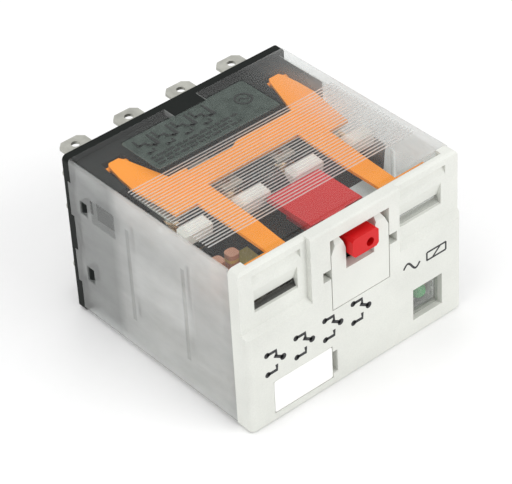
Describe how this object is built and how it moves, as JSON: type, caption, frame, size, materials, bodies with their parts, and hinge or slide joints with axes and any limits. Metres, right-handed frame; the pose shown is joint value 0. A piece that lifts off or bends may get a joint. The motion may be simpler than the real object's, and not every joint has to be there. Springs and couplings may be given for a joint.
{
  "type": "plug-in relay",
  "caption": "Box-shaped plug-in power relay with blade terminals, clear cover, grey front cap, orange flag, red test button, lock-down door and lamp window.",
  "frame": {"origin": "centre of the bounding box at the level of the lowest face, with the relay lying on its narrow long side", "axes": "-Y is the front face with the button and the windows, +Y is the plug side with the blades, +Z is the broad clear side over the flag, +X is to the right when looking at the front"},
  "size_m": [0.0412, 0.0472, 0.0282],
  "materials": {
    "black_plastic": "moulded, fine matt grain",
    "clear_plastic": "clear moulded polycarbonate with a slight haze",
    "grey_plastic": "light grey, fine spark-eroded grain",
    "white_plastic": "smooth white writing surface",
    "clear_lens": "clear, polished",
    "green_lamp": "tinted lamp epoxy",
    "circuit_board": "brown paper laminate with solder mask",
    "resistor_paint": "lacquered body with colour bands",
    "wire_sleeve": "insulating sleeve",
    "plated_steel": "zinc plated soft iron",
    "copper": "bare and enamelled copper",
    "bobbin_plastic": "natural nylon",
    "coil_tape": "yellow polyester tape",
    "spring_steel": "drawn spring steel",
    "ivory_plastic": "natural glass-filled nylon",
    "silver_alloy": "silver alloy contact",
    "spring_bronze": "phosphor bronze leaf",
    "tinned_brass": "tinned brass blade",
    "orange_plastic": "satin orange",
    "red_plastic": "glossy red",
    "door_plastic": "light grey, same grain as the cap"
  },
  "bodies": {
    "case": {"base": "black_plastic", "clear_cover": "clear_plastic", "front_cap": "grey_plastic", "id_tag": "white_plastic", "led_lens": "clear_lens", "status_led": "green_lamp", "led_circuit_board": "circuit_board", "led_resistors": "resistor_paint", "led_lead_wires": "wire_sleeve", "yoke": "plated_steel", "coil_core": "plated_steel", "shading_ring": "copper", "coil_bobbin": "bobbin_plastic", "coil_winding": "copper", "coil_tape": "coil_tape", "coil_lead_wires": "copper", "return_spring": "spring_steel", "contact_comb": "black_plastic", "nc_contacts": "silver_alloy", "no_contacts": "silver_alloy", "flexible_braids": "copper", "nc_terminal_1": "tinned_brass", "nc_terminal_2": "tinned_brass", "nc_terminal_3": "tinned_brass", "nc_terminal_4": "tinned_brass", "no_terminal_1": "tinned_brass", "no_terminal_2": "tinned_brass", "no_terminal_3": "tinned_brass", "no_terminal_4": "tinned_brass", "com_terminal_1": "tinned_brass", "com_terminal_2": "tinned_brass", "com_terminal_3": "tinned_brass", "com_terminal_4": "tinned_brass", "coil_terminal_1": "tinned_brass", "coil_terminal_2": "tinned_brass"},
    "armature_assembly": {"armature_plate": "plated_steel", "contact_carrier": "black_plastic", "carrier_rivets": "spring_steel", "spring_clamps": "ivory_plastic", "moving_contacts": "silver_alloy", "moving_spring_1": "spring_bronze", "moving_spring_2": "spring_bronze", "moving_spring_3": "spring_bronze", "moving_spring_4": "spring_bronze"},
    "flag": {"flag_indicator": "orange_plastic"},
    "button": {"test_button": "red_plastic"},
    "lock_down_door": {"lock_door": "door_plastic"}
  },
  "joints": [
    {"name": "armature_pull_in", "type": "hinge", "parent": "case", "child": "armature_assembly", "pos_m": [0, -0.01342, 0.004], "axis": [-1, 0, 0], "range_deg": [0, 6], "stiffness_Nm_per_rad": 0.02, "springref_deg": -5.73},
    {"name": "flag_swing", "type": "hinge", "parent": "case", "child": "flag", "pos_m": [0, 0.01172, 0.0263], "axis": [1, 0, 0], "range_deg": [0, 3]},
    {"name": "button_push", "type": "slide", "parent": "case", "child": "button", "axis": [0, 1, 0], "range_m": [0, 0.00175]},
    {"name": "door_tilt", "type": "hinge", "parent": "case", "child": "lock_down_door", "pos_m": [0.0008, -0.02063, 0.0202], "axis": [-1, 0, 0], "range_deg": [0, 22]}
  ],
  "couplings": [
    {"joint": "flag_swing", "follows": "armature_pull_in", "ratio": 0.5},
    {"joint": "button_push", "follows": "armature_pull_in", "m_per_rad": 0.0167}
  ]
}
